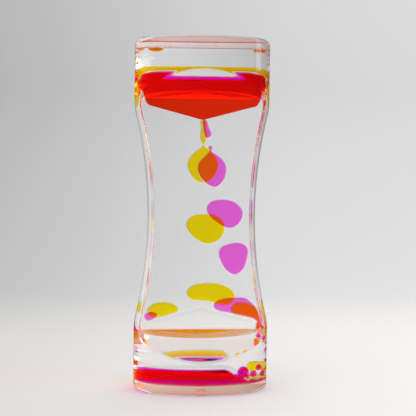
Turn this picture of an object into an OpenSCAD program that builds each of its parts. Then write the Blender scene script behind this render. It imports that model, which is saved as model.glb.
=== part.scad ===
// Liquid motion timer: flat drops of two coloured liquids fall through clear liquid
// in two thin windows, back to back, between the deep oval reservoirs at the two ends.
// Origin: centre of the underside. X is the width, Y the depth with the front at -Y, Z is up.

/* [Case] */
// Overall height, with both end plates
height = 140; // [130:1:160]
// Width across the reservoirs
width = 54; // [52:0.5:60]
// Depth of the reservoirs, front to back
depth = 32; // [28:0.5:38]
// Radius of the reservoirs' bulged front and back, seen from above
bulge_r = 50; // [46:1:75]
// Wall of the reservoirs and of the narrow sides
side_wall = 2; // [1.6:0.1:2.2]
// How far each side is drawn in at the waist
waist_in = 5.4; // [4:0.1:6]
// Height above the base where the sides start to draw in
waist_z = 27.2; // [25:0.2:30]
// Height above the base where the front's shoulder starts, at the middle of the bulge
shoulder_z = 13.5; // [11:0.5:16]
// Steepness of the shoulder, in degrees from level
shoulder_a = 45; // [42:1:48]
// Radius of the hollow curve between a shoulder and the window's flat face
fillet_r = 5; // [4:0.5:7]

/* [End plates] */
// Thickness of the top and base plates
plate_t = 3.8; // [3:0.1:4.5]
// Rounding of their outer edges
plate_edge_r = 2.2; // [1:0.1:2.9]
// Diameter of the filling holes and of their plugs
plug_d = 2.4; // [1.6:0.1:3.2]
// Diameter of the plugs' heads
plug_head_d = 4; // [3.6:0.1:5]
// Thickness of the plugs' heads
plug_head_t = 1; // [0.6:0.1:1.6]
// Distance of the filling holes from the middle plane
plug_y = 6.5; // [4.5:0.1:8]

/* [Windows] */
// Clear gap of each window, between the partition and the face wall
window_gap = 3.9; // [3.4:0.1:4.2]
// Wall of the flat front and back faces
face_wall = 2; // [1.6:0.1:2.2]
// Thickness of the partition between the two windows
partition_t = 1.2; // [0.8:0.1:1.6]
// Glue line round the pieces that are cemented into the case
glue = 0.05; // [0.02:0.01:0.08]

/* [Funnels] */
// Distance of the funnel's floor beside its nozzle from the case's nearer end
funnel_end = 32.2; // [31:0.1:34]
// Rise of the funnel's floor for each millimetre outwards
funnel_slope = 0.265; // [0.2:0.005:0.3]
// Thickness of the funnel's floor
funnel_t = 0.9; // [0.6:0.1:1.2]
// Clear width of the two ducts that run up beside the funnel
duct_w = 2.8; // [2.4:0.1:3.4]
// Thickness of the ducts' walls
cup_wall = 0.9; // [0.6:0.1:1.1]
// Bore of the nozzle
nozzle_d = 1.8; // [1.2:0.1:2]
// Length of the nozzle's spout below the floor
nozzle_l = 0.8; // [0.4:0.1:1.4]
// Space between a duct's mouth and the end plate
mouth_gap = 4.7; // [4:0.1:5.2]

/* [Liquids] */
// Level of the pink liquid in the upper reservoir, below the top plate
pink_top_gap = 9.2; // [8.8:0.1:11]
// Level of the yellow liquid in the upper reservoir, below the top plate
yellow_top_gap = 7; // [6:0.1:8.6]
// Depth of the pink liquid on the base plate
pink_base_depth = 6.2; // [5.4:0.1:7]
// Depth of the yellow liquid on the base plate
yellow_base_depth = 5; // [4.4:0.1:6]
// Level of the coloured liquids at their low end, above the underside
low_end_z = 5.3; // [4.8:0.1:6]
// Film of clear liquid between a drop and the walls of its window
film = 0.12; // [0.08:0.01:0.2]
// Film of clear liquid between a resting drop and the roof below it
rest_film = 0.35; // [0.2:0.05:0.5]
// How far the pink drops fall before the lowest meets the one that rests
pink_fall = 8.5; // [6:0.1:8.5]
// How far they rise when the timer is turned over
pink_rise = 2.4; // [1:0.1:2.4]
// How far the yellow drops fall
yellow_fall = 14.5; // [10:0.1:14.5]
// How far the drips in the lower right ducts fall
drip_fall = 5; // [3:0.1:5]

/* [Hidden] */
$fn = 96;

half_w = width / 2;
half_d = depth / 2;
mid = height / 2;
// The oval of the reservoirs is drawn with four arcs: two bulges and two ends that touch them
end_r = (2 * bulge_r * half_d - half_d * half_d - half_w * half_w) / (2 * (bulge_r - half_w));
end_x = half_w - end_r;
bulge_y = bulge_r - half_d;
waist_reach = mid - waist_z;
waist_r = (waist_reach * waist_reach + waist_in * waist_in) / (2 * waist_in);
waist_x = half_w - waist_in + waist_r;
funnel_z = mid - funnel_end;
window_in = partition_t / 2;
window_out = window_in + window_gap;
slab_half = window_out + face_wall;
duct_out = window_out + cup_wall;
// Larger than any half size of the case, for cutting shapes that pass right through
reach = 2 * half_w;
floor_z = plate_t;
ceiling_z = height - plate_t;
mouth_z = ceiling_z - mouth_gap;
cup_out = half_w - side_wall - duct_w;
cup_half = cup_out - cup_wall;
cup_z = mid + funnel_z + cup_half * funnel_slope;
// The window that the drops are drawn for, half its width and half its height, and the pods' depth
drawn_half = 21.3;
drawn_rise = 37.8;
drawn_depth = 14;
wide = cup_half / drawn_half;
tall = funnel_z / drawn_rise;
deep = (half_d - side_wall) / drawn_depth;
even = min(wide, tall);

// Height of the roof that the lower funnel makes, at a distance x from the middle
function roof_z(x) = mid - funnel_z - abs(x) * funnel_slope + funnel_t;
// Centre height of a round drop of radius r that rests on that roof
function rest_z(x, r) = roof_z(x) + r * sqrt(1 + funnel_slope * funnel_slope) + rest_film;
// A chain of circles for a falling drop: x, height above the middle and radius of each
function falling(list) = [for (c = list) [c[0] * wide, mid + c[1] * tall, c[2] * even]];
// A chain of circles for a drop that rests on the roof: x and radius of each
function resting(list) = [for (c = list) [c[0] * wide, rest_z(c[0] * wide, c[1] * even), c[1] * even]];
// Round beads: x, y, height and radius of each, with the place in plan tied to the case
function placed(list) = [for (b = list) [b[0] * wide, b[1] * deep, b[2], b[3] * min(wide, deep)]];

pink_a = falling([[4.3, 16.8, 5.5], [3.1, 24.6, 0.6]]);
pink_a_bead = falling([[3.2, 26.4, 0.8]]);
pink_b = falling([[5.1, 2.3, 3.3], [11.5, 0.9, 4.3], [10.8, -2.2, 3.4]]);
pink_c = falling([[10.8, -15.8, 4], [14.4, -15.4, 3.7], [13.1, -20.5, 3.7]]);
pink_d = resting([[7.6, 2.3], [13.6, 3.1], [18.6, 2.7]]);
pink_e = resting([[-19.6, 2]]);
yellow_a = falling([[0, 18.9, 6], [0.2, 27.5, 0.5]]);
yellow_b = falling([[-1, -5.4, 5.5], [3.2, -6, 5.6]]);
yellow_c = falling([[-2.4, -31.6, 3.4], [3.2, -31.5, 3.8], [9.2, -33.2, 3.6]]);
yellow_d = resting([[15.4, 2.4], [18.6, 2.9]]);
yellow_e = resting([[-19, 2.6], [-13, 2.8]]);
// The stems hang from the nozzles, so their highest circle keeps its place below the spout
stem_z = mid + funnel_z - nozzle_l - 1.1;
pink_stem_path = concat([[0.9 * wide, stem_z, 0.8 * even]], falling([[2.2, 31.8, 1.2]]));
yellow_stem_path = concat([[-0.1 * wide, stem_z, 0.9 * even]], falling([[-0.3, 31.6, 1.2], [0.1, 28.9, 0.5]]));
drip_x = cup_out + duct_w / 2;
drip_r = duct_w / 2 - rest_film;
pink_drip_z = waist_z - 7.6;
yellow_drip_z = waist_z - 4.2;
// The front drip keeps pace with the front drops, and so it rises with them too
drip_rise = drip_fall * pink_rise / pink_fall;
// Fresh beads above the low end of the pools
pink_beads = placed([[16.6, -5.5, 7.8, 2.4], [19.4, -2.6, 7.1, 1.6], [14.6, -8.9, 6.8, 1.1], [23, -2.5, 6.7, 1.1]]);
yellow_beads = placed([[18.9, 4.6, 8.2, 2.1], [15.6, 3.2, 7.2, 1.4], [16.8, 7.9, 7, 1.1]]);
slope_x = 12.3 * wide;
// Droplets that cling under the top plate: their centres lie a little inside it
droplets = placed([[-19.6, 5.2, ceiling_z + 1, 2.2], [21.4, 4.6, ceiling_z + 0.9, 2],
    [-21.6, -2.6, ceiling_z + 0.5, 1.2], [-13.2, -9.6, ceiling_z + 0.3, 0.7]]);

// The reservoirs' oval seen from above, drawn inwards by the given inset
module oval(inset) {
    for (side = [-1, 1])
        translate([side * end_x, 0])
            circle(end_r - inset);
    for (side = [0, 1])
        mirror([0, side])
            intersection() {
                translate([0, bulge_y])
                    circle(bulge_r - inset, $fn = 180);
                bulge_sector();
            }
}

// The part of the oval that its front bulge bounds
module bulge_sector() {
    flare = end_x * (1 + half_d / bulge_y * 1.2);
    polygon([[-end_x, 0], [end_x, 0], [flare, -half_d * 1.2], [-flare, -half_d * 1.2]]);
}

// Depth profile of the case in Y and Z: shoulders that curve into the flat window face
module depth_profile(inset, face_inset) {
    curve_r = fillet_r + inset;
    face_y = slab_half - face_inset;
    corner_z = shoulder_z + (half_d - face_y) * tan(shoulder_a) - inset / cos(shoulder_a);
    run = curve_r / tan(45 + shoulder_a / 2);
    edge_z = corner_z + (face_y - reach) * tan(shoulder_a);
    foot = [face_y + run * cos(shoulder_a), corner_z - run * sin(shoulder_a)];
    lower = [[reach, edge_z], foot, [face_y, corner_z + run]];
    front = concat(lower, [for (i = [2 : -1 : 0]) [lower[i][0], height - lower[i][1]]]);
    difference() {
        polygon(concat(front, [for (i = [5 : -1 : 0]) [-front[i][0], front[i][1]]]));
        for (side = [-1, 1])
            for (level = [corner_z + run, height - corner_z - run])
                translate([side * (face_y + curve_r), level])
                    circle(curve_r);
    }
}

// One side of the waist: the end arc of the oval swept along the long curve
module waist_side(inset) {
    translate([waist_x, 0, mid])
        rotate([90, 0, 0])
            rotate_extrude($fn = 360) {
                translate([waist_r + end_r, 0])
                    circle(end_r - inset);
                translate([waist_r + end_r, -reach])
                    square([2 * reach, 2 * reach]);
            }
}

// Outer form of the case, or with insets the form of its hollow, from the low to the high level
module case_form(inset, face_inset, low, high) {
    intersection() {
        translate([0, 0, low])
            linear_extrude(high - low)
                oval(inset);
        rotate([90, 0, 90])
            linear_extrude(2 * reach, center = true)
                depth_profile(inset, face_inset);
        waist_side(inset);
        mirror([1, 0, 0])
            waist_side(inset);
    }
}

// Hollow on one side of the partition, with a gap to every wall that bounds it
module chamber(gap) {
    intersection() {
        case_form(side_wall + gap, face_wall + gap, floor_z, ceiling_z);
        translate([-reach, -reach, 0])
            cube([2 * reach, reach - window_in - gap, height]);
    }
}

// The given outline in X and Z, carried right through the front chamber
module through_front() {
    rotate([90, 0, 0])
        linear_extrude(reach)
            children();
}

module to_back() {
    mirror([0, 1, 0])
        children();
}

module to_bottom() {
    translate([0, 0, height])
        mirror([0, 0, 1])
            children();
}

module case_body() {
    color([0.86, 0.88, 0.88, 0.35])
        difference() {
            case_form(0, 0, plate_t, height - plate_t);
            case_form(side_wall, face_wall, 0, height);
        }
}

// Disc with its lower edge rounded, the shape whose arcs bound the end plates
module edge_disc(r) {
    rotate_extrude($fn = 180) {
        square([r - plate_edge_r, plate_t]);
        translate([0, plate_edge_r])
            square([r, plate_t - plate_edge_r]);
        translate([r - plate_edge_r, plate_edge_r])
            circle(plate_edge_r, $fn = 48);
    }
}

// Oval end plate with its outer edge rounded all round, drawn as the base plate
module end_plate() {
    intersection() {
        linear_extrude(plate_t)
            square([2 * reach, 2 * reach], center = true);
        union() {
            for (side = [-1, 1])
                translate([side * end_x, 0, 0])
                    edge_disc(end_r);
            for (side = [0, 1])
                mirror([0, side, 0])
                    intersection() {
                        translate([0, bulge_y, 0])
                            edge_disc(bulge_r);
                        linear_extrude(plate_t)
                            bulge_sector();
                    }
        }
    }
}

module base_plate() {
    color([0.95, 0.84, 0.82, 0.5])
        difference() {
            end_plate();
            for (side = [-1, 1])
                translate([0, side * plug_y, 0])
                    plug_hole(glue);
        }
}

module top_plate() {
    color([0.95, 0.84, 0.82, 0.5])
        to_bottom()
            end_plate();
}

// Stepped filling hole, wide below for the plug's head
module plug_hole(gap) {
    translate([0, 0, -1])
        cylinder(h = plate_t + 2, d = plug_d + 2 * gap);
    translate([0, 0, -1])
        cylinder(h = plug_head_t + 1 + gap, d = plug_head_d + 2 * gap);
}

module fill_plug() {
    color([0.9, 0.75, 0.75, 0.7]) {
        cylinder(h = plug_head_t, d = plug_head_d);
        cylinder(h = plate_t, d = plug_d);
    }
}

module front_fill_plug() {
    translate([0, -plug_y, 0])
        fill_plug();
}

module back_fill_plug() {
    translate([0, plug_y, 0])
        fill_plug();
}

module partition() {
    color([0.9, 0.92, 0.92, 0.3])
        intersection() {
            case_form(side_wall + glue, face_wall, floor_z, ceiling_z);
            translate([-reach, -window_in, 0])
                cube([2 * reach, partition_t, height]);
        }
}

// Funnel outline in X and Z: sloping floor and the ducts' inner walls, grown by the given gap
module funnel_outline(gap) {
    low = mid + funnel_z;
    right = [[cup_half - gap, cup_z + gap], [cup_half - gap, mouth_z + gap],
        [cup_out + gap, mouth_z + gap], [cup_out + gap, cup_z - funnel_t - gap],
        [nozzle_d + gap, low + nozzle_d * funnel_slope - funnel_t - gap],
        [nozzle_d + gap, low - nozzle_l - gap]];
    left = [for (i = [5 : -1 : 0]) [-right[i][0], right[i][1]]];
    polygon(concat([[0, low + gap]], right, left));
}

// Funnel with the ducts' front walls, which carry the window's front wall up to the mouths
module funnel_form(gap) {
    intersection() {
        through_front()
            funnel_outline(gap);
        translate([-reach, -duct_out - gap, 0])
            cube([2 * reach, duct_out + gap, height]);
    }
    for (side = [0, 1])
        mirror([side, 0, 0])
            translate([cup_half - gap, -duct_out - gap, cup_z])
                cube([reach, cup_wall + 2 * gap, mouth_z + gap - cup_z]);
}

module funnel() {
    color([0.9, 0.92, 0.92, 0.4])
        difference() {
            intersection() {
                chamber(glue);
                funnel_form(0);
            }
            translate([0, -(window_in + window_out) / 2, 0])
                cylinder(h = height, d = nozzle_d, $fn = 32);
        }
}

module upper_funnel_front() {
    funnel();
}

module upper_funnel_back() {
    to_back()
        funnel();
}

module lower_funnel_front() {
    to_bottom()
        funnel();
}

module lower_funnel_back() {
    to_back()
        to_bottom()
            funnel();
}

// Space above a funnel's floor and round its ducts, up to the given level
module upper_pool_space(level, gap) {
    spare = 2 * (glue - gap);
    low = mid + funnel_z + spare;
    rim = low + reach * funnel_slope;
    difference() {
        through_front()
            polygon([[0, low], [reach, rim], [reach, level + gap], [-reach, level + gap], [-reach, rim]]);
        for (side = [0, 1])
            mirror([side, 0, 0])
                translate([cup_half - spare, -duct_out - spare, 0])
                    cube([reach, reach, height]);
    }
}

module upper_pool(level) {
    intersection() {
        chamber(2 * glue);
        upper_pool_space(level, 0);
    }
}

module pink_upper_pool() {
    color([0.9, 0.05, 0.6, 0.8])
        upper_pool(ceiling_z - pink_top_gap);
}

module yellow_upper_pool() {
    color([0.9, 0.8, 0.05, 0.8])
        to_back()
            upper_pool(ceiling_z - yellow_top_gap);
}

// Liquid on the base plate: level on the left, lower where the fresh beads gather on the right
module lower_pool_outline(level, gap) {
    polygon([[-reach, 0], [reach, 0], [reach, low_end_z + gap], [slope_x + 2, low_end_z + gap],
        [slope_x - 2, level + gap], [-reach, level + gap]]);
}

module lower_pool(level) {
    difference() {
        intersection() {
            chamber(2 * glue);
            through_front()
                lower_pool_outline(level, 0);
        }
        to_bottom()
            funnel_form(glue);
    }
}

module pink_lower_pool() {
    color([0.9, 0.05, 0.55, 0.8])
        lower_pool(floor_z + pink_base_depth);
}

module yellow_lower_pool() {
    color([0.9, 0.8, 0.05, 0.8])
        to_back()
            lower_pool(floor_z + yellow_base_depth);
}

// Smooth outline round a chain of circles
module blob(chain) {
    hull()
        for (c = chain)
            translate([c[0], c[1]])
                circle(c[2], $fn = 40);
}

// Flat drop that fills the front window but for the film on its two faces
module flat_drop(chain) {
    translate([0, -window_in - film, 0])
        rotate([90, 0, 0])
            linear_extrude(window_gap - 2 * film)
                blob(chain);
}

module pink_liquid() {
    color([0.8, 0.35, 0.8, 0.8])
        children();
}

module yellow_liquid() {
    color([0.87, 0.82, 0.05, 0.8])
        to_back()
            children();
}

module pink_drop_a() {
    pink_liquid() {
        flat_drop(pink_a);
        flat_drop(pink_a_bead);
    }
}

module pink_drop_b() {
    pink_liquid()
        flat_drop(pink_b);
}

module pink_drop_c() {
    pink_liquid()
        flat_drop(pink_c);
}

module pink_drop_d() {
    pink_liquid()
        flat_drop(pink_d);
}

module pink_drop_e() {
    pink_liquid()
        flat_drop(pink_e);
}

module yellow_drop_a() {
    yellow_liquid()
        flat_drop(yellow_a);
}

module yellow_drop_b() {
    yellow_liquid()
        flat_drop(yellow_b);
}

module yellow_drop_c() {
    yellow_liquid()
        flat_drop(yellow_c);
}

module yellow_drop_d() {
    yellow_liquid()
        flat_drop(yellow_d);
}

module yellow_drop_e() {
    yellow_liquid()
        flat_drop(yellow_e);
}

// Liquid that still hangs from a nozzle: the column in the bore and the neck below it
module stem(chain) {
    top = mid + funnel_z;
    foot = top - nozzle_l;
    flat_drop(chain);
    translate([0, -(window_in + window_out) / 2, foot - 0.6])
        cylinder(h = nozzle_l + 0.6, d = nozzle_d - 4 * glue, $fn = 32);
}

module pink_stem() {
    pink_liquid()
        stem(pink_stem_path);
}

module yellow_stem() {
    yellow_liquid()
        stem(yellow_stem_path);
}

// Small round drip on its way down the lower right duct
module drip(z) {
    translate([drip_x, -(window_in + window_out) / 2, z])
        sphere(drip_r, $fn = 32);
}

module pink_drip() {
    pink_liquid()
        drip(pink_drip_z);
}

module yellow_drip() {
    yellow_liquid()
        drip(yellow_drip_z);
}

// Beads that have left the duct and haven't joined the pool yet, or the room for them
module beads(list, gap) {
    for (b = list)
        translate([b[0], b[1], b[2]])
            sphere(b[3] + gap, $fn = 32);
}

module pink_bubbles() {
    color([0.9, 0.1, 0.7, 0.8])
        beads(pink_beads, 0);
}

module yellow_bubbles() {
    color([0.9, 0.8, 0.05, 0.8])
        beads(yellow_beads, 0);
}

// Shallow caps of coloured liquid that cling to the underside of the top plate
module ceiling_droplets() {
    color([0.95, 0.65, 0.05, 0.8])
        intersection() {
            beads(droplets, 0);
            translate([-reach, -reach, ceiling_z - reach])
                cube([2 * reach, 2 * reach, reach]);
        }
}

// Upright strip of a window that a moving drop passes through
module lane(chain, fall, rise) {
    gap = 4 * glue;
    left = min([for (c = chain) c[0] - c[2]]) - gap;
    right = max([for (c = chain) c[0] + c[2]]) + gap;
    low = min([for (c = chain) c[1] - c[2]]) - fall - gap;
    high = max([for (c = chain) c[1] + c[2]]) + rise + gap;
    translate([left, low])
        square([right - left, high - low]);
}

// Outline of a drop that stays put, grown by the glue line's width
module around(chain) {
    blob([for (c = chain) [c[0], c[1], c[2] + 2 * glue]]);
}

module front_drop_space() {
    fall = pink_fall * tall;
    rise = pink_rise * tall;
    lane(pink_a, fall, rise);
    lane(pink_a_bead, fall, rise);
    lane(pink_b, fall, rise);
    lane(pink_c, fall, rise);
    around(pink_d);
    around(pink_e);
    around(pink_stem_path);
    around([[0, mid + funnel_z - nozzle_l, nozzle_d / 2]]);
    lane([[drip_x, pink_drip_z, drip_r]], drip_fall, drip_rise);
}

module back_drop_space() {
    fall = yellow_fall * tall;
    lane(yellow_a, fall, 0);
    lane(yellow_b, fall, 0);
    around(yellow_c);
    around(yellow_d);
    around(yellow_e);
    around(yellow_stem_path);
    around([[0, mid + funnel_z - nozzle_l, nozzle_d / 2]]);
    lane([[drip_x, yellow_drip_z, drip_r]], drip_fall, 0);
}

// Clear liquid that fills the rest of a front chamber, cut back round the drops and their lanes
module clear_liquid(top_level, base_level) {
    difference() {
        intersection() {
            chamber(2 * glue);
            through_front()
                difference() {
                    translate([-reach, 0])
                        square([2 * reach, height]);
                    lower_pool_outline(base_level, glue);
                    children();
                }
        }
        upper_pool_space(top_level, glue);
        funnel_form(glue);
        to_bottom()
            funnel_form(glue);
    }
}

// Room for the beads above the low end of the pools and for the droplets under the top plate
module bead_space() {
    beads(concat(pink_beads, yellow_beads, droplets), 2 * glue);
}

module clear_liquid_front() {
    color([0.93, 0.95, 0.95, 0.15])
        difference() {
            clear_liquid(ceiling_z - pink_top_gap, floor_z + pink_base_depth)
                front_drop_space();
            bead_space();
        }
}

module clear_liquid_back() {
    color([0.93, 0.95, 0.95, 0.15])
        difference() {
            to_back()
                clear_liquid(ceiling_z - yellow_top_gap, floor_z + yellow_base_depth)
                    back_drop_space();
            bead_space();
        }
}

case_body();
top_plate();
base_plate();
front_fill_plug();
back_fill_plug();
partition();
upper_funnel_front();
upper_funnel_back();
lower_funnel_front();
lower_funnel_back();
clear_liquid_front();
clear_liquid_back();
pink_upper_pool();
yellow_upper_pool();
pink_lower_pool();
yellow_lower_pool();
pink_stem();
yellow_stem();
pink_drop_a();
pink_drop_b();
pink_drop_c();
pink_drop_d();
pink_drop_e();
yellow_drop_a();
yellow_drop_b();
yellow_drop_c();
yellow_drop_d();
yellow_drop_e();
pink_drip();
yellow_drip();
pink_bubbles();
yellow_bubbles();
ceiling_droplets();
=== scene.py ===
# Liquid motion timer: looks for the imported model
# Lengths are in metres, or in millimetres where a name ends in Mm
import math
import bpy
from mathutils import Matrix, Vector
from mathutils.geometry import delaunay_2d_cdt


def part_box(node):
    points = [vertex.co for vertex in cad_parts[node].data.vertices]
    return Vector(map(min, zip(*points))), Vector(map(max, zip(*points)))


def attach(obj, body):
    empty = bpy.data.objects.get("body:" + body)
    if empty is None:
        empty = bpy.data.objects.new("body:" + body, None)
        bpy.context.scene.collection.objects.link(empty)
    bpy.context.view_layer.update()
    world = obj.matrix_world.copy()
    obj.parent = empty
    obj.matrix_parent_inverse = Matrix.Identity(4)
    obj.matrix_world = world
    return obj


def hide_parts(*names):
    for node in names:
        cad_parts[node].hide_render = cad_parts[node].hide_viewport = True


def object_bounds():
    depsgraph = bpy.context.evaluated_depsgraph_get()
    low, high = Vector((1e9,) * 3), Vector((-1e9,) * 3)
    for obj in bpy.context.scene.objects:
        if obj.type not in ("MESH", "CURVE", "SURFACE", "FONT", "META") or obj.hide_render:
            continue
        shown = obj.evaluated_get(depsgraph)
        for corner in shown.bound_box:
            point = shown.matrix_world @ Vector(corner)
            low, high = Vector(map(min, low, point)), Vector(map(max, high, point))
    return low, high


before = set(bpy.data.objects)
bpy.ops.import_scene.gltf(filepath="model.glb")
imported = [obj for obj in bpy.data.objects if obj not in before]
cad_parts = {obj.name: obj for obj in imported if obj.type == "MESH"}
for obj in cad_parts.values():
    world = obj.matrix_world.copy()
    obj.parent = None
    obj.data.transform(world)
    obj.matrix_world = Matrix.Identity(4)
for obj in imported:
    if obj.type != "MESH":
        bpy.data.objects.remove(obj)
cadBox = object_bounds()
mm = 0.001
caseLow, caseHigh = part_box("case_body")
halfWidthMm = caseHigh.x / mm
halfDepthMm = caseHigh.y / mm
plateMm = caseLow.z / mm
heightMm = cadBox[1][2] / mm
middleMm = heightMm / 2


def hexColor(code):  # sRGB hex to the linear colour that a shader takes
    parts = [int(code[i:i + 2], 16) / 255 for i in (1, 3, 5)]
    return tuple(c / 12.92 if c <= 0.04045 else ((c + 0.055) / 1.055) ** 2.4
                 for c in parts) + (1.0,)


def addNode(tree, kind, settings=None, values=None, links=None):  # sockets by name or number
    node = tree.nodes.new(kind)
    for name, value in (settings or {}).items():
        setattr(node, name, value)
    for name, value in (values or {}).items():
        node.inputs[name].default_value = value
    for name, source in (links or {}).items():
        tree.links.new(source, node.inputs[name])
    return node


def newMaterial(name):
    material = bpy.data.materials.new(name)
    material.use_nodes = True
    material.node_tree.nodes.clear()
    return material, material.node_tree


def clearMaterial(name, ior, tint="#ffffff", roughness=0.0, absorption=None,
                  waveMm=0.0, waveScaleMm=12.0):
    material, tree = newMaterial(name)
    glass = addNode(tree, "ShaderNodeBsdfGlass",
                    values={"Color": hexColor(tint), "Roughness": roughness, "IOR": ior})
    if waveMm:  # slow waviness that moulding leaves in a polished wall
        place = addNode(tree, "ShaderNodeTexCoord")
        wave = addNode(tree, "ShaderNodeTexNoise",
                       values={"Scale": 1 / (waveScaleMm * mm), "Detail": 1.0},
                       links={"Vector": place.outputs["Object"]})
        bump = addNode(tree, "ShaderNodeBump", values={"Strength": 1.0, "Distance": waveMm * mm},
                       links={"Height": wave.outputs["Fac"]})
        tree.links.new(bump.outputs["Normal"], glass.inputs["Normal"])
    # A shadow ray goes straight through, so the timer casts a light shadow
    rays = addNode(tree, "ShaderNodeLightPath")
    seeThrough = addNode(tree, "ShaderNodeBsdfTransparent", values={"Color": hexColor(tint)})
    blend = addNode(tree, "ShaderNodeMixShader", links={
        0: rays.outputs["Is Shadow Ray"], 1: glass.outputs[0], 2: seeThrough.outputs[0]})
    out = addNode(tree, "ShaderNodeOutputMaterial", links={"Surface": blend.outputs[0]})
    if absorption:  # share of light lost over one millimetre of liquid in red, green and blue
        strongest = max(absorption)
        color = tuple(1 - a / strongest for a in absorption) + (1.0,)
        dye = addNode(tree, "ShaderNodeVolumeAbsorption",
                      values={"Color": color, "Density": strongest / mm})
        tree.links.new(dye.outputs[0], out.inputs["Volume"])
    return material


def matchedMaterial(name):  # where two clear things of one index meet, light isn't bent
    material, tree = newMaterial(name)
    through = addNode(tree, "ShaderNodeBsdfTransparent", values={"Color": hexColor("#ffffff")})
    addNode(tree, "ShaderNodeOutputMaterial", links={"Surface": through.outputs[0]})
    return material


def mirroredRay(tree):  # 1 for a ray straight off a mirroring surface: the room looks darker in it
    rays = addNode(tree, "ShaderNodeLightPath")
    notThrough = addNode(tree, "ShaderNodeMath", {"operation": "SUBTRACT"}, {0: 1.0},
                         {1: rays.outputs["Is Transmission Ray"]})
    mirrored = addNode(tree, "ShaderNodeMath", {"operation": "MULTIPLY"},
                       links={0: rays.outputs["Is Glossy Ray"], 1: notThrough.outputs[0]})
    return mirrored.outputs[0]


plasticIor, oilIor, waterIor = 1.49, 1.45, 1.37
sheetInOilIor, cementIor = 1.003, 1.015  # close to a match, so only faint edges show
# Clear acrylic, injection moulded and polished: bright hard edges, nearly no colour of its own
acrylic = clearMaterial("mouldedAcrylic", plasticIor, waveMm=0.01)
acrylicAgainstOil = clearMaterial("mouldedAcrylicAgainstOil", plasticIor / oilIor)
# The moulded ends, less polished: pale pink and softly mirrored
mattAcrylic = clearMaterial("mouldedAcrylicMattEnd", plasticIor, tint="#ffe9e5", roughness=0.35)
# Case and plates cemented to one body of plastic: nothing shows in between
cementedJoint = matchedMaterial("cementedJoint")
# Acrylic sheet under the oil: faint outlines
acrylicInOil = clearMaterial("acrylicSheetInOil", sheetInOilIor)
# Cement round the filling plugs: a faint pink mark in the base
plugCement = clearMaterial("tintedPlugCement", cementIor, tint="#fff6f4")
# Clear mineral oil, which fills the chambers: no surface of its own shows
mineralOil = matchedMaterial("clearMineralOil")
# Dyed water in the oil: flat clean colour in a thin drop, much deeper in the reservoirs
dyedIor = waterIor / oilIor
pinkWater = clearMaterial("pinkDyedWater", dyedIor, absorption=(0.002, 0.5, 0.045))
yellowWater = clearMaterial("yellowDyedWater", dyedIor, absorption=(0.002, 0.066, 1.6))
# In the reservoirs light crosses the dye more than once, so it looks stronger there
pinkPoolWater = clearMaterial("pinkDyedWaterInPools", dyedIor, absorption=(0.002, 0.85, 0.05))
# Small beads gather light from all round, so they look deeper in colour than a flat drop
pinkBeadWater = clearMaterial("pinkDyedWaterInBeads", dyedIor, absorption=(0.004, 1.5, 0.16))
# Pink and yellow that have mixed under the top plate: orange
mixedWater = clearMaterial("mixedDyedWaterOnCeiling", dyedIor, absorption=(0.002, 0.32, 1.6))
print("materials made")

# levelSteps: heights of the lower half up to which the case goes in so many steps
caseShape = {"bulgeRadiusMm": 50, "waistWidthMm": 43.2, "waistRadiusMm": 172,
             "shoulderStartMm": 13.5, "shoulderDegrees": 45, "filletMm": 8, "slabHalfMm": 6.5,
             "wallMm": 2, "faceWallMm": 2, "edgeRoundMm": 0.7, "kinkRoundMm": 0.8, "tipMm": 0.5,
             "plateEdgeMm": 0.8, "plateEndMm": 2.2, "plateEndsShare": 0.72, "rimSteps": 12,
             "partitionHalfMm": 0.6,
             "levelSteps": [(6, 1), (8, 1), (10, 1), (11.5, 1), (12.4, 1), (17.5, 17),
                            (25.2, 50), (29, 6), (middleMm, 18)]}
bulgeR = caseShape["bulgeRadiusMm"]
endR = ((2 * bulgeR * halfDepthMm - halfDepthMm ** 2 - halfWidthMm ** 2)
        / (2 * (bulgeR - halfWidthMm)))
endX = halfWidthMm - endR
bulgeY = bulgeR - halfDepthMm


def evenly(low, high, steps):
    return [low + (high - low) * i / steps for i in range(steps + 1)]


def softMin(a, b, radius):  # the smaller of two values, rounded where they cross
    near = max(radius - abs(a - b), 0) / radius
    return min(a, b) - near * near * radius / 4


def swell(depth, rounding):  # quarter circle from 0 at the edge to 1 at the rounding's distance
    return math.sqrt(1 - (1 - min(depth / rounding, 1)) ** 2)


def widthLimit(z):  # half width of the case at height z
    centre = caseShape["waistWidthMm"] / 2 + caseShape["waistRadiusMm"]
    waist = centre - math.sqrt(caseShape["waistRadiusMm"] ** 2 - (z - middleMm) ** 2)
    return softMin(halfWidthMm, waist, caseShape["kinkRoundMm"])


def depthLimit(z, inset=0.0, faceInset=0.0):  # half depth that shoulder, curve and face leave at z
    z = min(z, heightMm - z)
    slope = math.radians(caseShape["shoulderDegrees"])
    faceY = caseShape["slabHalfMm"] - faceInset
    cornerZ = (caseShape["shoulderStartMm"] + (halfDepthMm - faceY) * math.tan(slope)
               - inset / math.cos(slope))
    radius = caseShape["filletMm"] + inset
    run = radius / math.tan(math.pi / 4 + slope / 2)
    if z >= cornerZ + run:
        return faceY
    if z > cornerZ - run * math.sin(slope):
        return faceY + radius - math.sqrt(radius ** 2 - (cornerZ + run - z) ** 2)
    return faceY + (cornerZ - z) / math.tan(slope)


def ovalHalf(x, inset=0.0):  # half depth of the reservoirs' oval at distance x from the middle
    x = abs(x)
    touchX = endX * bulgeR / math.hypot(endX, bulgeY)
    if x <= touchX * (bulgeR - inset) / bulgeR:
        return math.sqrt((bulgeR - inset) ** 2 - x * x) - bulgeY
    return math.sqrt(max((endR - inset) ** 2 - (x - endX) ** 2, 0))


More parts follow.
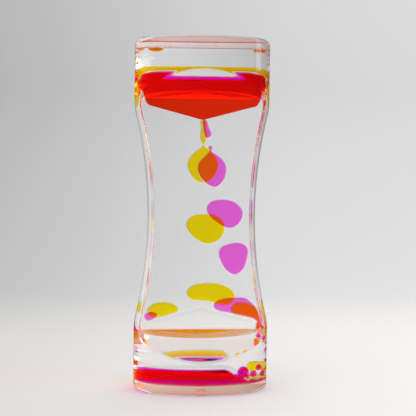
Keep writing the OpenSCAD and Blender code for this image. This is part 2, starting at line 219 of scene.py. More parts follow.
def ovalLoop(inset, endSteps=28, bulgeSteps=52):  # outline seen from above, from the right end on
    touch = math.atan2(bulgeY, endX)
    right = [(endX + (endR - inset) * math.cos(a), (endR - inset) * math.sin(a))
             for a in (touch * i / endSteps for i in range(endSteps))]
    front = [((bulgeR - inset) * math.sin(a), (bulgeR - inset) * math.cos(a) - bulgeY)
             for a in ((math.pi / 2 - touch) * (1 - i / bulgeSteps) for i in range(bulgeSteps))]
    quarter = right + front
    half = quarter + [(0.0, halfDepthMm - inset)] + [(-x, y) for x, y in reversed(quarter[1:])]
    return half + [(-halfWidthMm + inset, 0.0)] + [(x, -y) for x, y in reversed(half[1:])]


def flatRing(inset, z):
    return [(x, y, z) for x, y in ovalLoop(inset)]


def caseRing(z, inset, faceInset):
    scale = (widthLimit(z) - inset) / (halfWidthMm - inset)
    limit = depthLimit(z, inset, faceInset)
    ring = []
    for x, y in ovalLoop(inset):
        depth = abs(y)
        if depth > caseShape["tipMm"]:
            depth = softMin(depth, limit, caseShape["edgeRoundMm"])
        ring.append((x * scale, math.copysign(depth, y), z))
    return ring


def caseLevels():  # close together on the shoulders and hollow curves, wider apart elsewhere
    lower = [plateMm]
    for high, steps in caseShape["levelSteps"]:
        lower += evenly(lower[-1], high, steps)[1:]
    return lower + [heightMm - z for z in reversed(lower[:-1])]


def meshFrom(name, points, faces, slots=None):  # points in millimetres, a material index per face
    mesh = bpy.data.meshes.new(name)
    mesh.from_pydata([(x * mm, y * mm, z * mm) for x, y, z in points], [], faces)
    if slots:
        mesh.polygons.foreach_set("material_index", slots)
    mesh.update()
    piece = bpy.data.objects.new(name, mesh)
    bpy.context.scene.collection.objects.link(piece)
    return piece


def joinRings(rings, capStart=True, capEnd=True):  # quads between rings of equal length
    count = len(rings[0])
    points = [p for ring in rings for p in ring]
    faces = []
    for k in range(len(rings) - 1):
        for i in range(count):
            j = (i + 1) % count
            faces.append((k * count + i, k * count + j, (k + 1) * count + j, (k + 1) * count + i))
    if capStart:
        faces.append(tuple(range(count - 1, -1, -1)))
    if capEnd:
        faces.append(tuple(range((len(rings) - 1) * count, len(rings) * count)))
    return points, faces


def outwardNormals(piece):
    bpy.context.view_layer.objects.active = piece
    bpy.ops.object.select_all(action="DESELECT")
    piece.select_set(True)
    bpy.ops.object.mode_set(mode="EDIT")
    bpy.ops.mesh.select_all(action="SELECT")
    bpy.ops.mesh.normals_make_consistent(inside=False)
    bpy.ops.object.mode_set(mode="OBJECT")


def smoothPiece(piece, degrees=35, capSides=8):  # smooth, but sharp at real edges and flat caps
    mesh = piece.data
    mesh.shade_smooth()
    mesh.set_sharp_from_angle(angle=math.radians(degrees))
    sharp = (mesh.attributes.get("sharp_edge")
             or mesh.attributes.new("sharp_edge", "BOOLEAN", "EDGE"))
    edgeOf = {tuple(sorted(e.vertices)): e.index for e in mesh.edges}
    for face in mesh.polygons:
        if len(face.vertices) > capSides:
            face.use_smooth = False
            for key in face.edge_keys:
                sharp.data[edgeOf[tuple(sorted(key))]].value = True


def makeCase():
    levels = caseLevels()
    outer = [caseRing(z, 0, 0) for z in levels]
    inner = [caseRing(z, caseShape["wallMm"], caseShape["faceWallMm"]) for z in reversed(levels)]
    rings = outer + inner
    count = len(rings[0])
    points, faces = joinRings(rings, capStart=False, capEnd=False)
    last = (len(rings) - 1) * count
    faces += [(last + i, last + (i + 1) % count, (i + 1) % count, i) for i in range(count)]
    wallFaces = (len(levels) - 1) * count
    slots = [0] * wallFaces + [2] * count + [1] * wallFaces + [2] * count
    piece = meshFrom("clear_case", points, faces, slots)
    for material in (acrylic, acrylicAgainstOil, cementedJoint):
        piece.data.materials.append(material)
    outwardNormals(piece)
    smoothPiece(piece)
    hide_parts("case_body")
    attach(piece, "timer")


def edgeRing(angle):  # round the plate's rim, more at its two ends than in front and behind
    endsFrom = halfWidthMm * caseShape["plateEndsShare"]
    ring = []
    for (x, y), (innerX, innerY) in zip(ovalLoop(0), ovalLoop(1)):
        end = swell(max(abs(x) - endsFrom, 0), halfWidthMm - endsFrom)
        edge = caseShape["plateEdgeMm"] * (1 - end) + caseShape["plateEndMm"] * end
        inset = edge * (1 - math.sin(angle))
        ring.append((x + (innerX - x) * inset, y + (innerY - y) * inset,
                     edge * (1 - math.cos(angle))))
    return ring


def makePlate(name, node, top):
    steps = caseShape["rimSteps"]
    rings = [edgeRing(a) for a in evenly(0, math.pi / 2, steps)]
    rings += [flatRing(0, plateMm), flatRing(caseShape["wallMm"], plateMm)]
    if top:
        rings = [[(x, y, heightMm - z) for x, y, z in ring] for ring in rings]
    points, faces = joinRings(rings)
    count = len(rings[0])
    slots = [0] * ((steps + 1) * count) + [2] * count + [3, 1]  # rim, joint, outer and inner face
    piece = meshFrom(name, points, faces, slots)
    for material in (acrylic, acrylicAgainstOil, cementedJoint, mattAcrylic):
        piece.data.materials.append(material)
    outwardNormals(piece)
    smoothPiece(piece, degrees=40)
    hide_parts(node)
    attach(piece, "timer")


plugShape = {"stemMm": 1.2, "headMm": 2.0, "headTallMm": 1.0, "awayMm": 6.5, "gapMm": 0.03,
             "steps": 32}


def makePlug(name, node, side):  # a headed pin in the base plate, flush but free of its faces
    gap, head, stem, tall = (plugShape[k] for k in ("gapMm", "headMm", "stemMm", "headTallMm"))
    levels = [(head, gap), (head, tall), (stem, tall), (stem, plateMm - gap)]
    rings = [[(radius * math.cos(a), side * plugShape["awayMm"] + radius * math.sin(a), z)
              for a in evenly(0, 2 * math.pi, plugShape["steps"])[:-1]] for radius, z in levels]
    piece = meshFrom(name, *joinRings(rings))
    piece.data.materials.append(plugCement)
    outwardNormals(piece)
    smoothPiece(piece)
    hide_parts(node)
    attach(piece, "timer")


makeCase()
makePlug("front_plug_pin", "front_fill_plug", -1)
makePlug("back_plug_pin", "back_fill_plug", 1)
makePlate("clear_base_plate", "base_plate", False)
makePlate("clear_top_plate", "top_plate", True)
print("case and plates made")


def smoothLoop(corners, steps=7):  # closed curve through given points
    count = len(corners)
    loop = []
    for i in range(count):
        before, start, end, after = (corners[(i + k) % count] for k in (-1, 0, 1, 2))
        for k in range(steps):
            t = k / steps
            loop.append(tuple(0.5 * (2 * b + (c - a) * t + (2 * a - 5 * b + 4 * c - d) * t ** 2
                                     + (3 * b - a - 3 * c + d) * t ** 3)
                              for a, b, c, d in zip(before, start, end, after)))
    return loop


def lineDistance(x, y, line):  # shortest distance from a point to an open line
    best = 1e9
    for (ax, ay), (bx, by) in zip(line, line[1:]):
        ux, uy = bx - ax, by - ay
        length = ux * ux + uy * uy
        t = min(max(((x - ax) * ux + (y - ay) * uy) / length, 0), 1) if length > 1e-12 else 0
        best = min(best, (x - ax - ux * t) ** 2 + (y - ay - uy * t) ** 2)
    return math.sqrt(best)


def isInside(x, y, loop):
    inside = False
    for (ax, ay), (bx, by) in zip(loop[-1:] + loop, loop):
        if (ay > y) != (by > y) and x < (bx - ax) * (y - ay) / (by - ay) + ax:
            inside = not inside
    return inside


def outwardAt(loop):  # at each point of a closed outline, the direction away from it
    area = sum(a[0] * b[1] - b[0] * a[1] for a, b in zip(loop, loop[1:] + loop[:1]))
    turn = 1 if area > 0 else -1
    directions = []
    for i in range(len(loop)):
        (ax, ay), (bx, by) = loop[i - 1], loop[(i + 1) % len(loop)]
        size = math.hypot(bx - ax, by - ay) or 1.0
        directions.append((turn * (by - ay) / size, -turn * (bx - ax) / size))
    return directions


# Points of a filled outline: rows along a quarter circle, then a grid further in
fillShape = {"rowAngles": (0.2, 0.42, 0.66, 0.92, 1.2, math.pi / 2), "keepShare": 0.97}


def filledOutline(loop, rounding, gridMm):  # triangles with close rows of points beside the edge
    points, depths = list(loop), [0.0] * len(loop)
    closed = loop[-1:] + loop

    def addPoint(x, y, least):  # where it lies inside and further than least from the edge
        if isInside(x, y, loop):
            away = lineDistance(x, y, closed)
            if away > least:
                points.append((x, y))
                depths.append(away)

    directions = outwardAt(loop)
    for angle in fillShape["rowAngles"]:
        depth = rounding * (1 - math.cos(angle))
        for (x, y), (outX, outY) in zip(loop, directions):
            addPoint(x - outX * depth, y - outY * depth, depth * fillShape["keepShare"])
    lowX, highX = min(p[0] for p in loop), max(p[0] for p in loop)
    lowY, highY = min(p[1] for p in loop), max(p[1] for p in loop)
    for i in range(int((highX - lowX) / gridMm)):
        for k in range(int((highY - lowY) / gridMm)):
            addPoint(lowX + (i + 0.5) * gridMm, lowY + (k + 0.5) * gridMm, rounding + gridMm * 0.5)
    flat, _, faces, origins, _, _ = delaunay_2d_cdt(
        [Vector(p) for p in points], [], [list(range(len(loop)))], 1, 1e-5)
    return [tuple(p) for p in flat], [tuple(f) for f in faces], [depths[o[0]] for o in origins]


# Depths and gaps are from the plates' inner faces, lowEndMm from the table, and funnelMm from
# the middle of the height
poolShape = {"gapMm": 0.04, "funnelMm": 37.8, "floorGapMm": 0.14, "tipMm": 0.2,
             "funnelSlope": 0.265, "cupHalfMm": 20.5, "cupFullMm": 23.7, "cupRoundMm": 9.0,
             "ductMm": 5.5, "pinkTopGapMm": 9.2, "yellowTopGapMm": 7.0,
             "pinkDepthMm": 6.2, "yellowDepthMm": 5.0, "lowEndMm": 5.3, "slopeFromMm": 8.5,
             "slopeToMm": 17.5, "baseGapMm": 0.06, "footNotchMm": 1.2, "mostDownShare": 0.6,
             "frontInMm": 5.0, "frontDownMm": 2.8, "endInMm": 6.0, "endDownMm": 3.4,
             "endsFromMm": 12, "endsOverMm": 11, "innerEdgeMm": 0.7,
             "gridMm": 1.2, "cornerAngle": 0.1,
             "ringSteps": (18, 6, 4, 44), "levelSteps": (18, 24, 6)}
nearMm = caseShape["partitionHalfMm"] + poolShape["gapMm"]  # a pool's start at the partition
wallInMm = caseShape["wallMm"] + poolShape["gapMm"]  # and its end, inside the case's outline
hairMm = 1e-6  # a difference too small to count


def chamberDepth(x, z):  # distance of the chamber's outer wall from the middle plane
    scale = (widthLimit(z) - wallInMm) / (halfWidthMm - wallInMm)
    limit = depthLimit(z, wallInMm, caseShape["faceWallMm"] + poolShape["gapMm"])
    return softMin(ovalHalf(x / scale, wallInMm), limit, caseShape["edgeRoundMm"])


def wallDistance(depth, z):  # how far from the middle the chamber's wall has the given depth
    low, high = 0.0, widthLimit(z) - wallInMm
    for _ in range(30):  # halved until it is exact
        middle = (low + high) / 2
        low, high = (middle, high) if chamberDepth(middle, z) > depth else (low, middle)
    return low


def poolRing(side, notch, z):  # beside the partition, round the ducts and along the chamber's wall
    alongSteps, ductSteps, cornerSteps, wallSteps = poolShape["ringSteps"]
    corner = min(notch, chamberDepth(side, z))
    farX = max(wallDistance(corner, z), side) if corner == notch else side
    half = [(side * t, nearMm) for t in evenly(0, 1, alongSteps)]
    half += [(side, nearMm + (corner - nearMm) * t) for t in evenly(0, 1, ductSteps)[1:]]
    half += [(side + (farX - side) * t, corner) for t in evenly(0, 1, cornerSteps)[1:]]
    for a in evenly(0, math.pi / 2, wallSteps)[1:]:
        x = farX * math.cos(a)
        least = corner if a < poolShape["cornerAngle"] else nearMm
        half.append((x, max(chamberDepth(x, z), least)))
    return [(x, y, z) for x, y in half] + [(-x, y, z) for x, y in reversed(half[1:-1])]


def finishLiquid(piece, material, node, back, body="timer"):
    if not back:
        piece.data.transform(Matrix.Scale(-1, 4, Vector((0, 1, 0))))
    piece.data.materials.append(material)
    outwardNormals(piece)
    piece.data.shade_smooth()
    piece.data.set_sharp_from_angle(angle=math.radians(40))
    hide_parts(node)
    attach(piece, body)


def eased(value, start, over):  # 0 up to start, 1 from start + over on, smooth in between
    share = min(max(value - start, 0) / over, 1)
    return share * share * (3 - 2 * share)


def edgeDrop(x, y, line, limit):  # how far the level curves down, most at the two ends
    end = eased(abs(x), poolShape["endsFromMm"], poolShape["endsOverMm"])
    down = min(poolShape["frontDownMm"] * (1 - end) + poolShape["endDownMm"] * end, limit)
    reach = poolShape["frontInMm"] * (1 - end) + poolShape["endInMm"] * end
    wall = down * (1 - swell(lineDistance(x, y, line), reach))
    innerEdge = poolShape["innerEdgeMm"]
    inner = min(innerEdge, down) * (1 - swell(y - nearMm, innerEdge))
    return max(wall, inner)


def closedPool(name, rings, heightAt):  # walls from rings, a flat start, a top with curved edges
    rim = [(x, y) for x, y, _ in rings[-1]]
    widest = max(x for x, y in rim)
    line = [(x, y) for x, y in rim if y > rim[0][1] + hairMm or abs(x) > widest - hairMm]
    rings[-1] = [(x, y, heightAt(x, y, line)) for x, y in rim]
    points, faces = joinRings(rings, capEnd=False)
    last = len(points) - len(rim)
    flat, cap, _ = filledOutline(rim, poolShape["frontInMm"], poolShape["gridMm"])
    place = {i: last + i for i in range(len(rim))}
    for i, (x, y) in list(enumerate(flat))[len(rim):]:
        place[i] = len(points)
        points.append((x, y, heightAt(x, y, line)))
    return meshFrom(name, points, faces + [tuple(place[i] for i in face) for face in cap])


def makeUpperPool(name, node, material, topGap, back):
    low = middleMm + poolShape["funnelMm"] + poolShape["floorGapMm"]
    level = heightMm - plateMm - topGap
    cup, full, bend, slope, down = (poolShape[k] for k in (
        "cupHalfMm", "cupFullMm", "cupRoundMm", "funnelSlope", "endDownMm"))
    rim = low + cup * slope
    floorSteps, bendSteps, sideSteps = poolShape["levelSteps"]

    def sideAt(z):  # along the funnel's floor, round its end and straight up
        if z < rim:
            return (z - low) / slope
        return cup + (full - cup) * swell(z - rim, bend)

    levels = evenly(low + poolShape["tipMm"], rim, floorSteps)
    levels += [rim + bend * (1 - math.cos(a)) for a in evenly(0, math.pi / 2, bendSteps)[1:]]
    levels += evenly(rim + bend, level - down, sideSteps)[1:]
    rings = [poolRing(sideAt(z), poolShape["ductMm"], z) for z in levels]
    rings.append([(x, y, level) for x, y, _ in rings[-1]])
    piece = closedPool(name, rings, lambda x, y, line: level - edgeDrop(x, y, line, down))
    finishLiquid(piece, material, node, back)


def makeLowerPool(name, node, material, depth, back):
    base = plateMm + poolShape["baseGapMm"]
    drop = plateMm + depth - poolShape["lowEndMm"]
    slopeFrom, notch = poolShape["slopeFromMm"], poolShape["footNotchMm"]

    def heightAt(x, y, line):
        along = eased(x, slopeFrom, poolShape["slopeToMm"] - slopeFrom)
        level = plateMm + depth - drop * along
        return level - edgeDrop(x, y, line, (level - base) * poolShape["mostDownShare"])

    def wallHeight(x, y):  # as if the point stood at the pool's wall
        return heightAt(x, y, [(x, y), (x, y + 0.01)])

    foot = poolRing(wallDistance(notch, base), notch, base)
    rings = [[(x, y, base + (wallHeight(x, y) - base) * t) for x, y, _ in foot]
             for t in (0, 0.5, 1)]
    finishLiquid(closedPool(name, rings, heightAt), material, node, back)


makeUpperPool("pink_pool_above", "pink_upper_pool", pinkPoolWater,
              poolShape["pinkTopGapMm"], False)
makeUpperPool("yellow_pool_above", "yellow_upper_pool", yellowWater,
              poolShape["yellowTopGapMm"], True)
makeLowerPool("pink_pool_below", "pink_lower_pool", pinkPoolWater,
              poolShape["pinkDepthMm"], False)
makeLowerPool("yellow_pool_below", "yellow_lower_pool", yellowWater,
              poolShape["yellowDepthMm"], True)
print("pools made")

# Drops between partition and face, drawn in X and Z: outline points in millimetres, body
dropShape = {"growMm": 0.3, "lessAtTop": 0.7, "halfMm": 1.82, "centreMm": 2.55, "roundMm": 0.45,
             "gridMm": 1.1}
pinkDrops = {
    "pink_stem": ([(0.1, 107.9), (1.5, 107.9), (2.2, 105.9), (3.1, 103.7), (3.5, 102.3),
                   (2.6, 101.2), (1.3, 101.2), (0.7, 103.2), (0.3, 105.6)], "timer"),
    "pink_drop_a": ([(3.5, 96.0), (4.6, 95.0), (7.0, 93.4), (9.0, 90.9), (9.5, 88.1), (8.6, 84.7),
                     (6.9, 82.5), (4.9, 81.6), (2.0, 82.8), (-0.5, 85.4), (-1.6, 88.2),
                     (-1.2, 91.2), (1.1, 93.8), (2.6, 95.3), (3.1, 96.2), (2.6, 97.3), (3.3, 97.9),
                     (4.0, 97.3)], "pink_drop_a_body"),
    "pink_drop_b": ([(8.5, 76.6), (12.7, 75.7), (15.6, 73.1), (16.1, 70.2), (14.8, 67.2),
                     (12.2, 65.4), (9.2, 65.7), (6.0, 67.5), (3.1, 70.1), (2.1, 73.2), (4.0, 75.8)],
                    "pink_drop_b_body"),
    "pink_drop_c": ([(13.2, 59.3), (16.5, 58.8), (18.3, 56.5), (18.0, 52.8), (16.6, 48.8),
                     (13.5, 46.6), (10.2, 48.2), (7.9, 51.8), (7.1, 55.1), (8.4, 57.7)],
                    "pink_drop_c_body"),
    "pink_drop_d": ([(14.2, 37.3), (17.4, 37.1), (19.9, 35.3), (22.3, 32.4), (23.5, 29.1),
                     (24.2, 26.4), (23.4, 24.6), (22.4, 24.6), (22.3, 26.3), (22.5, 27.9),
                     (20.1, 29.2), (15.9, 30.2), (11.1, 31.3), (6.2, 32.4), (5.2, 34.2),
                     (6.8, 36.0), (10.6, 37.1)], "timer"),
    "pink_drop_e": ([(-20.0, 31.7), (-18.0, 31.0), (-17.9, 29.8), (-19.5, 28.7), (-21.3, 28.2),
                     (-22.4, 29.1), (-22.2, 30.7)], "timer")}
yellowDrops = {
    "yellow_stem": ([(-0.4, 107.9), (1.5, 107.9), (1.7, 105.3), (1.9, 102.8), (1.9, 101.4),
                     (1.4, 100.2), (1.1, 98.9), (0.5, 98.9), (-0.2, 100.2), (-0.5, 102.0),
                     (-0.3, 104.8)], "timer"),
    "yellow_drop_a": ([(0.7, 98.4), (1.4, 97.4), (3.6, 95.9), (5.7, 93.1), (6.5, 90.1),
                       (5.5, 86.8), (3.4, 84.2), (0.8, 83.2), (-2.2, 84.1), (-4.6, 87.1),
                       (-5.5, 90.2), (-4.6, 93.3), (-2.1, 95.9), (0.1, 97.4)],
                      "yellow_drop_a_body"),
    "yellow_drop_b": ([(0.9, 70.5), (5.4, 70.2), (8.5, 67.8), (9.2, 64.3), (7.4, 60.6),
                       (3.3, 58.7), (-0.6, 59.7), (-4.1, 62.4), (-5.9, 65.8), (-4.8, 68.8),
                       (-2.1, 70.2)], "yellow_drop_b_body"),
    "yellow_drop_c": ([(3.2, 42.7), (8.7, 41.9), (12.5, 39.7), (13.7, 37.0), (12.5, 34.6),
                       (9.9, 33.7), (5.5, 34.7), (2.0, 35.6), (-2.5, 35.8), (-5.1, 37.1),
                       (-5.3, 39.5), (-2.7, 41.8)], "timer"),
    "yellow_drop_d": ([(15.8, 34.8), (19.3, 34.4), (22.2, 33.1), (23.4, 30.6), (24.0, 27.5),
                       (24.3, 24.7), (23.8, 23.4), (22.8, 23.6), (22.4, 24.8), (22.7, 26.8),
                       (22.2, 28.0), (18.7, 28.9), (15.0, 29.6), (12.7, 30.5), (12.6, 32.3),
                       (13.8, 34.1)], "timer"),
    "yellow_drop_e": ([(-15.0, 34.9), (-11.8, 34.4), (-9.6, 33.1), (-9.2, 31.6), (-10.7, 30.7),
                       (-14.2, 29.6), (-17.4, 28.7), (-20.0, 29.0), (-21.5, 30.6), (-21.1, 32.5),
                       (-18.7, 34.2)], "timer")}


def widened(loop, far):  # the same closed outline moved outward, less at its top
    wider = []
    for (x, y), (outX, outY) in zip(loop, outwardAt(loop)):
        reach = far * (1 - dropShape["lessAtTop"] * max(outY, 0))
        wider.append((x + outX * reach, y + outY * reach))
    return wider


def makeFlatDrop(node, corners, body, material, back):
    loop = widened(smoothLoop(corners), dropShape["growMm"])
    flat, faces, depths = filledOutline(loop, dropShape["roundMm"], dropShape["gridMm"])
    rim = len(loop)
    height = [dropShape["halfMm"] * swell(d, dropShape["roundMm"]) for d in depths]
    middle = dropShape["centreMm"]
    points = [(x, middle - h, z) for (x, z), h in zip(flat, height)]
    points += [(x, middle + h, z) for (x, z), h in zip(flat[rim:], height[rim:])]
    shift = len(flat) - rim
    faces += [tuple(i if i < rim else i + shift for i in reversed(face)) for face in faces]
    finishLiquid(meshFrom(node + "_water", points, faces), material, node, back, body)


for node, (corners, body) in pinkDrops.items():
    makeFlatDrop(node, corners, body, pinkWater, False)
for node, (corners, body) in yellowDrops.items():
    makeFlatDrop(node, corners, body, yellowWater, True)
print("drops made")

# Round beads: x, y, z and radius in millimetres
beadShape = {"rings": 24, "smallest": 0.95, "largest": 1.0,
             "pinkBeads": [(15.9, -5.5, 7.9, 2.4), (19.7, -5.0, 7.0, 1.4), (21.6, -4.2, 9.4, 1.3),
                           (22.9, -3.0, 6.6, 1.3), (17.6, -8.6, 6.8, 1.0)],
             "yellowBeads": [(19.0, 4.5, 8.6, 2.4), (22.2, 3.2, 7.2, 1.6), (15.6, 6.9, 7.2, 1.3)],
             "yellowFlatten": 0.85,
             "pinkDrip": [(23.2, -2.55, 20.8, 1.15)], "yellowDrip": [(23.2, 2.55, 23.4, 1.15)],
             "droplets": [(-17.6, -5.2, 135.1, 2.9), (20.8, -3.6, 135.2, 2.5),
                          (-22.6, -2.2, 135.5, 1.5), (-12.6, -8.6, 135.8, 0.6)],
             "dropletFlatten": 0.36}


def makeBeadTree():  # a sphere of its own radius at each point, flattened in height where asked
    tree = bpy.data.node_groups.new("beadsAtPoints", "GeometryNodeTree")
    face = tree.interface
    face.new_socket("Geometry", in_out="INPUT", socket_type="NodeSocketGeometry")
    kinds = {"Rings": "NodeSocketInt", "Flatten": "NodeSocketFloat", "Seed": "NodeSocketInt",
             "Water": "NodeSocketMaterial"}
    sockets = {name: face.new_socket(name, in_out="INPUT", socket_type=kind).identifier
               for name, kind in kinds.items()}
    face.new_socket("Geometry", in_out="OUTPUT", socket_type="NodeSocketGeometry")
    start = addNode(tree, "NodeGroupInput")
    double = addNode(tree, "ShaderNodeMath", {"operation": "MULTIPLY"}, {1: 2.0},
                     {0: start.outputs["Rings"]})
    ball = addNode(tree, "GeometryNodeMeshUVSphere", values={"Radius": 1.0},
                   links={"Rings": start.outputs["Rings"], "Segments": double.outputs[0]})
    radius = addNode(tree, "GeometryNodeInputNamedAttribute", {"data_type": "FLOAT"},
                     {"Name": "beadRadius"})
    spread = addNode(tree, "FunctionNodeRandomValue", {"data_type": "FLOAT"},
                     {2: beadShape["smallest"], 3: beadShape["largest"]},
                     {"Seed": start.outputs["Seed"]})
    wide = addNode(tree, "ShaderNodeMath", {"operation": "MULTIPLY"},
                   links={0: radius.outputs["Attribute"], 1: spread.outputs[1]})
    high = addNode(tree, "ShaderNodeMath", {"operation": "MULTIPLY"},
                   links={0: wide.outputs[0], 1: start.outputs["Flatten"]})
    scale = addNode(tree, "ShaderNodeCombineXYZ",
                    links={"X": wide.outputs[0], "Y": wide.outputs[0], "Z": high.outputs[0]})
    spots = addNode(tree, "GeometryNodeMeshToPoints", links={"Mesh": start.outputs["Geometry"]})
    placed = addNode(tree, "GeometryNodeInstanceOnPoints", links={
        "Points": spots.outputs["Points"], "Instance": ball.outputs["Mesh"],
        "Scale": scale.outputs[0]})
    real = addNode(tree, "GeometryNodeRealizeInstances",
                   links={"Geometry": placed.outputs["Instances"]})
    smooth = addNode(tree, "GeometryNodeSetShadeSmooth", links={"Geometry": real.outputs[0]})
    filled = addNode(tree, "GeometryNodeSetMaterial",
                     links={"Geometry": smooth.outputs[0], "Material": start.outputs["Water"]})
    addNode(tree, "NodeGroupOutput", links={"Geometry": filled.outputs[0]})
    return tree, sockets


def makeBeads(name, node, beads, material, body="timer", flatten=1.0, seed=4):
    spots = meshFrom(name + "_spots", [b[:3] for b in beads], [])
    radii = spots.data.attributes.new("beadRadius", "FLOAT", "POINT")
    radii.data.foreach_set("value", [b[3] * mm for b in beads])
    grown = spots.modifiers.new("beads", "NODES")
    grown.node_group = beadTree
    inputs = {"Rings": beadShape["rings"], "Flatten": flatten, "Seed": seed, "Water": material}
    for key, value in inputs.items():
        grown[beadSockets[key]] = value
    ready = spots.evaluated_get(bpy.context.evaluated_depsgraph_get())
    piece = bpy.data.objects.new(name, bpy.data.meshes.new_from_object(ready))
    bpy.context.scene.collection.objects.link(piece)
    bpy.data.objects.remove(spots)
    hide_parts(node)
    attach(piece, body)


beadTree, beadSockets = makeBeadTree()
makeBeads("pink_beads", "pink_bubbles", beadShape["pinkBeads"], pinkBeadWater)
makeBeads("yellow_beads", "yellow_bubbles", beadShape["yellowBeads"], yellowWater,
          flatten=beadShape["yellowFlatten"])
makeBeads("pink_duct_drip", "pink_drip", beadShape["pinkDrip"], pinkBeadWater,
          "pink_drip_body")
makeBeads("yellow_duct_drip", "yellow_drip", beadShape["yellowDrip"], yellowWater,
          "yellow_drip_body")
makeBeads("plate_droplets", "ceiling_droplets", beadShape["droplets"], mixedWater,
          flatten=beadShape["dropletFlatten"])
print("beads made")

for name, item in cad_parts.items():  # CAD pieces whose shape is right get their material
    if not item.hide_render:
        item.data.materials.clear()
        item.data.materials.append(
            mineralOil if name.startswith("clear_liquid") else acrylicInOil)
print("carried-over pieces finished")

# Painted shade in the paper: greyer towards the backdrop, darker on the left, and much darker in
# mirror reflections
stageShape = {"floorHex": "#f1f0ef", "paintedShadeWallHex": "#d8d8d9", "paleToMm": 60, "darkFromMm": 400,
              "paintedLeftShadeShare": 0.76, "shadedToMm": 230, "fullFromMm": 120, "mirroredShare": 0.05,
              "belowMm": 0.1, "wallMm": 420, "curveMm": 160, "curveSteps": 24,
              "reachMm": 1500, "riseMm": 1100}


def makeStage():  # one pale sheet that curves up from the floor into the backdrop
    low, wall, radius = -stageShape["belowMm"], stageShape["wallMm"], stageShape["curveMm"]
    profile = [(-stageShape["reachMm"], low), (wall - radius, low)]
    for a in evenly(0, math.pi / 2, stageShape["curveSteps"])[1:]:
        profile.append((wall - radius + radius * math.sin(a), low + radius * (1 - math.cos(a))))
    profile.append((wall, stageShape["riseMm"]))
    points = [(side * stageShape["reachMm"], y, z) for y, z in profile for side in (-1, 1)]
    faces = [(2 * i, 2 * i + 1, 2 * i + 3, 2 * i + 2) for i in range(len(profile) - 1)]
    sheet = meshFrom("pale_sheet", points, faces)
    sheet.data.shade_smooth()
    # Matt paper with painted shade: pale floor, a backdrop painted greyer as shade, painted shade
    # darker to the left as in the photo, and painted much darker where it is seen straight off a
    # mirroring surface
    material, tree = newMaterial("mattPaperSweepPaintedShade")
    place = addNode(tree, "ShaderNodeTexCoord")
    split = addNode(tree, "ShaderNodeSeparateXYZ", links={"Vector": place.outputs["Object"]})
    # painted shade: the sheet turns greyer from the floor back into the backdrop
    paintedWallShade = addNode(tree, "ShaderNodeMapRange", {"interpolation_type": "SMOOTHSTEP"},
                   {"From Min": stageShape["paleToMm"] * mm,
                    "From Max": stageShape["darkFromMm"] * mm}, {"Value": split.outputs["Y"]})
    mix = addNode(tree, "ShaderNodeMix", {"data_type": "RGBA"},
                  {6: hexColor(stageShape["floorHex"]), 7: hexColor(stageShape["paintedShadeWallHex"])},
                  {"Factor": paintedWallShade.outputs["Result"]})
    # painted reflection shade: the paper is much darker where it is seen straight off a mirroring
    # surface
    dim = addNode(tree, "ShaderNodeMapRange",
                  values={"To Min": 1.0, "To Max": stageShape["mirroredShare"]},
                  links={"Value": mirroredRay(tree)})
    # painted shade: the paper is darker towards the left
    paintedLeftShade = addNode(tree, "ShaderNodeMapRange", {"interpolation_type": "SMOOTHSTEP"},
                   {"From Min": -stageShape["shadedToMm"] * mm,
                    "From Max": stageShape["fullFromMm"] * mm,
                    "To Min": stageShape["paintedLeftShadeShare"], "To Max": 1.0},
                   {"Value": split.outputs["X"]})
    lit = addNode(tree, "ShaderNodeMath", {"operation": "MULTIPLY"},
                  links={0: dim.outputs[0], 1: paintedLeftShade.outputs[0]})
    shade = addNode(tree, "ShaderNodeVectorMath", {"operation": "SCALE"},
                    links={0: mix.outputs[2], "Scale": lit.outputs[0]})
    paper = addNode(tree, "ShaderNodeBsdfDiffuse", links={"Color": shade.outputs[0]})
    addNode(tree, "ShaderNodeOutputMaterial", links={"Surface": paper.outputs[0]})
    sheet.data.materials.append(material)


# Softboxes: place and size in metres, power in watts
lightRig = {"worldHex": "#ebebea", "worldStrength": 0.85, "mirroredStrength": 0.05,
            "softboxes": [((-0.55, -0.45, 0.75), (0.5, 0.7), 0.8),
                          ((0.65, -0.15, 0.55), (0.35, 0.8), 2.4),
                          ((0.0, 0.1, 1.0), (0.9, 0.6), 1.7)],
            "aim": (0, 0, 0.06)}


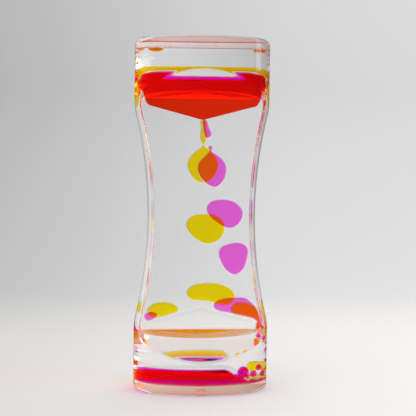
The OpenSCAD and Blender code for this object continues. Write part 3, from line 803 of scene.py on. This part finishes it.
def makeLights():
    world = bpy.data.worlds.new("softRoom")
    bpy.context.scene.world = world
    world.use_nodes = True
    tree = world.node_tree
    tree.nodes.clear()
    strength = addNode(tree, "ShaderNodeMapRange",
                       values={"To Min": lightRig["worldStrength"],
                               "To Max": lightRig["mirroredStrength"]},
                       links={"Value": mirroredRay(tree)})
    room = addNode(tree, "ShaderNodeBackground", values={"Color": hexColor(lightRig["worldHex"])},
                   links={"Strength": strength.outputs[0]})
    addNode(tree, "ShaderNodeOutputWorld", links={"Surface": room.outputs[0]})
    for i, (place, size, power) in enumerate(lightRig["softboxes"]):
        light = bpy.data.lights.new(f"softbox{i}", "AREA")
        light.shape = "RECTANGLE"
        light.size, light.size_y = size
        light.energy = power
        lamp = bpy.data.objects.new(f"softbox{i}", light)
        lamp.location = place
        toTarget = Vector(lightRig["aim"]) - Vector(place)
        lamp.rotation_euler = toTarget.to_track_quat("-Z", "Y").to_euler()
        bpy.context.scene.collection.objects.link(lamp)


# frontScale: pixels of a 416 pixel frame for one millimetre at the case's front
cameraSetup = {"distanceMm": 350, "eyeMm": 88, "azimuthDegrees": -3.5, "rollDegrees": 0.44,
               "framePixels": 416, "frontScale": 2.6, "eyePixelRow": 170.5, "centrePixel": 201.3,
               "sensorMm": 36, "clipMm": 10}


def makeCamera():
    data = bpy.data.cameras.new("viewCamera")
    eye = bpy.data.objects.new("viewCamera", data)
    bpy.context.scene.collection.objects.link(eye)
    bpy.context.scene.camera = eye
    distance = cameraSetup["distanceMm"]
    pixels = cameraSetup["framePixels"]
    focal = cameraSetup["frontScale"] * (distance - halfDepthMm)
    data.sensor_width = cameraSetup["sensorMm"]
    data.lens = cameraSetup["sensorMm"] * focal / pixels
    data.shift_x = (pixels / 2 - cameraSetup["centrePixel"]) / pixels
    data.clip_start = cameraSetup["clipMm"] * mm
    turn = math.radians(cameraSetup["azimuthDegrees"])
    tilt = math.atan((pixels / 2 - cameraSetup["eyePixelRow"]) / focal)
    away = Vector((math.sin(turn), -math.cos(turn), 0)) * distance * mm
    eye.location = away + Vector((0, 0, cameraSetup["eyeMm"] * mm))
    look = Matrix.Rotation(turn, 4, "Z") @ Matrix.Rotation(math.pi / 2 - tilt, 4, "X")
    look = look @ Matrix.Rotation(math.radians(cameraSetup["rollDegrees"]), 4, "Z")
    eye.rotation_euler = look.to_euler()


makeStage()
makeLights()
makeCamera()
scene = bpy.context.scene
scene.view_settings.view_transform = "Standard"
# Light crosses many clear walls one after the other
scene.cycles.max_bounces = 96
scene.cycles.transmission_bounces = 96
scene.cycles.transparent_max_bounces = 96
scene.cycles.glossy_bounces = 24
scene.cycles.diffuse_bounces = 4
print("stage, lights and camera set")
